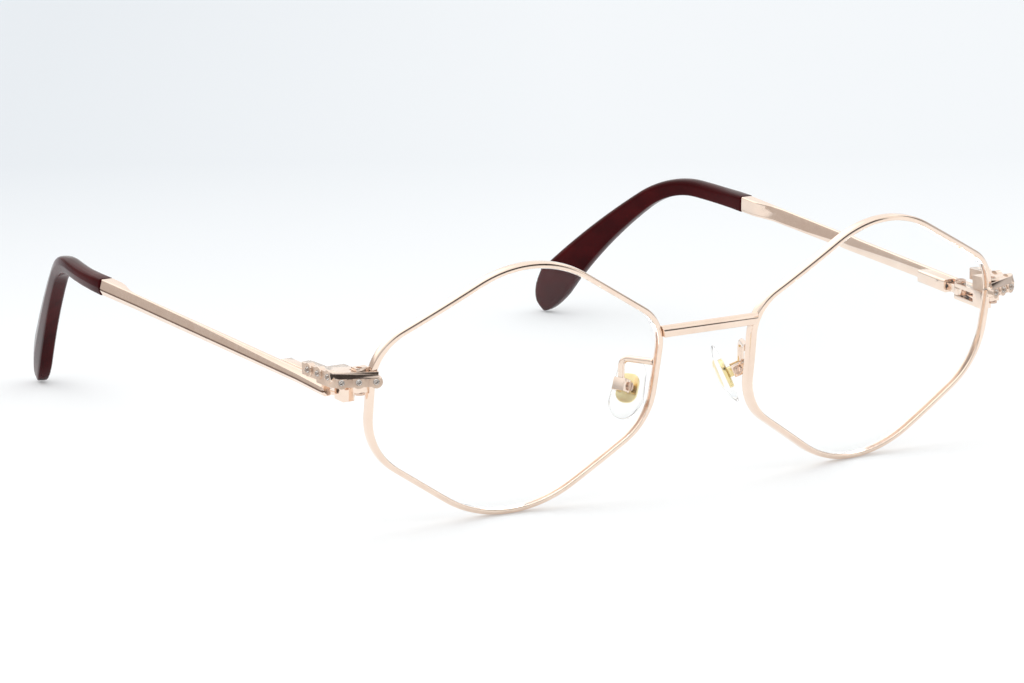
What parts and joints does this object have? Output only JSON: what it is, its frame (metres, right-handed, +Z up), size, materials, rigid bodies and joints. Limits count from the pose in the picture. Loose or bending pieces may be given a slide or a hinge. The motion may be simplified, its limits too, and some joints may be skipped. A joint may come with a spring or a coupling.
{
  "type": "eyeglass frame",
  "caption": "Full-rim metal eyeglass frame with spring hinges, folding temples with plastic tips, clear lenses and rocking nose pads",
  "frame": {"origin": "middle of the bounding box, on the table that the open frame stands on", "axes": "X to the wearer's left, Y from the lenses back along the temples, Z up"},
  "size_m": [0.1418, 0.1486, 0.0454],
  "materials": {
    "rose_gold": "polished rose gold plating",
    "plate_gold": "yellow gold plating under the clear pad",
    "screw_metal": "polished, slotted",
    "spring_steel": "drawn wire",
    "lens": "clear, polished",
    "stones": "clear cut stones",
    "tip_plastic": "glossy dark burgundy",
    "pad_silicone": "clear soft silicone"
  },
  "bodies": {
    "front": {"bridge": "rose_gold", "right_rim": "rose_gold", "right_lens": "lens", "right_closing_block_upper": "rose_gold", "right_closing_block_lower": "rose_gold", "right_closing_screw": "screw_metal", "right_end_piece": "rose_gold", "right_end_piece_stones": "stones", "right_hinge_leaf": "rose_gold", "right_hinge_screw": "screw_metal", "right_pad_arm": "rose_gold", "right_pad_box": "rose_gold", "right_pad_screw": "screw_metal", "left_rim": "rose_gold", "left_lens": "lens", "left_closing_block_upper": "rose_gold", "left_closing_block_lower": "rose_gold", "left_closing_screw": "screw_metal", "left_end_piece": "rose_gold", "left_end_piece_stones": "stones", "left_hinge_leaf": "rose_gold", "left_hinge_screw": "screw_metal", "left_pad_arm": "rose_gold", "left_pad_box": "rose_gold", "left_pad_screw": "screw_metal"},
    "right_slider": {"right_hinge_slider": "rose_gold"},
    "right_temple": {"right_hinge_spring": "spring_steel", "right_spring_stop": "rose_gold", "right_spring_housing": "rose_gold", "right_temple_bar": "rose_gold", "right_temple_tip": "tip_plastic"},
    "right_pad": {"right_pad_core": "plate_gold", "right_nose_pad": "pad_silicone"},
    "left_slider": {"left_hinge_slider": "rose_gold"},
    "left_temple": {"left_hinge_spring": "spring_steel", "left_spring_stop": "rose_gold", "left_spring_housing": "rose_gold", "left_temple_bar": "rose_gold", "left_temple_tip": "tip_plastic"},
    "left_pad": {"left_pad_core": "plate_gold", "left_nose_pad": "pad_silicone"}
  },
  "joints": [
    {"name": "right_temple_fold", "type": "hinge", "parent": "front", "child": "right_slider", "pos_m": [-0.0661, -0.05461, 0.02521], "axis": [-0.0013, 0.0549, -0.9985], "range_deg": [-12, 88]},
    {"name": "right_spring_extend", "type": "slide", "parent": "right_slider", "child": "right_temple", "axis": [-0.0235, 0.9982, 0.0549], "range_m": [0, 0.0014], "stiffness_N_per_m": 400, "springref_m": -0.001, "deforming": ["right_hinge_spring"]},
    {"name": "left_temple_fold", "type": "hinge", "parent": "front", "child": "left_slider", "pos_m": [0.0661, -0.05461, 0.02521], "axis": [-0.0013, -0.0549, 0.9985], "range_deg": [-12, 83]},
    {"name": "left_spring_extend", "type": "slide", "parent": "left_slider", "child": "left_temple", "axis": [0.0235, 0.9982, 0.0549], "range_m": [0, 0.0014], "stiffness_N_per_m": 400, "springref_m": -0.001, "deforming": ["left_hinge_spring"]},
    {"name": "right_pad_rock", "type": "hinge", "parent": "front", "child": "right_pad", "pos_m": [-0.01182, -0.06308, 0.01914], "axis": [0.454, -0.891, 0], "range_deg": [-15, 15]},
    {"name": "left_pad_rock", "type": "hinge", "parent": "front", "child": "left_pad", "pos_m": [0.01182, -0.06308, 0.01914], "axis": [0.454, 0.891, 0], "range_deg": [-15, 15]}
  ]
}
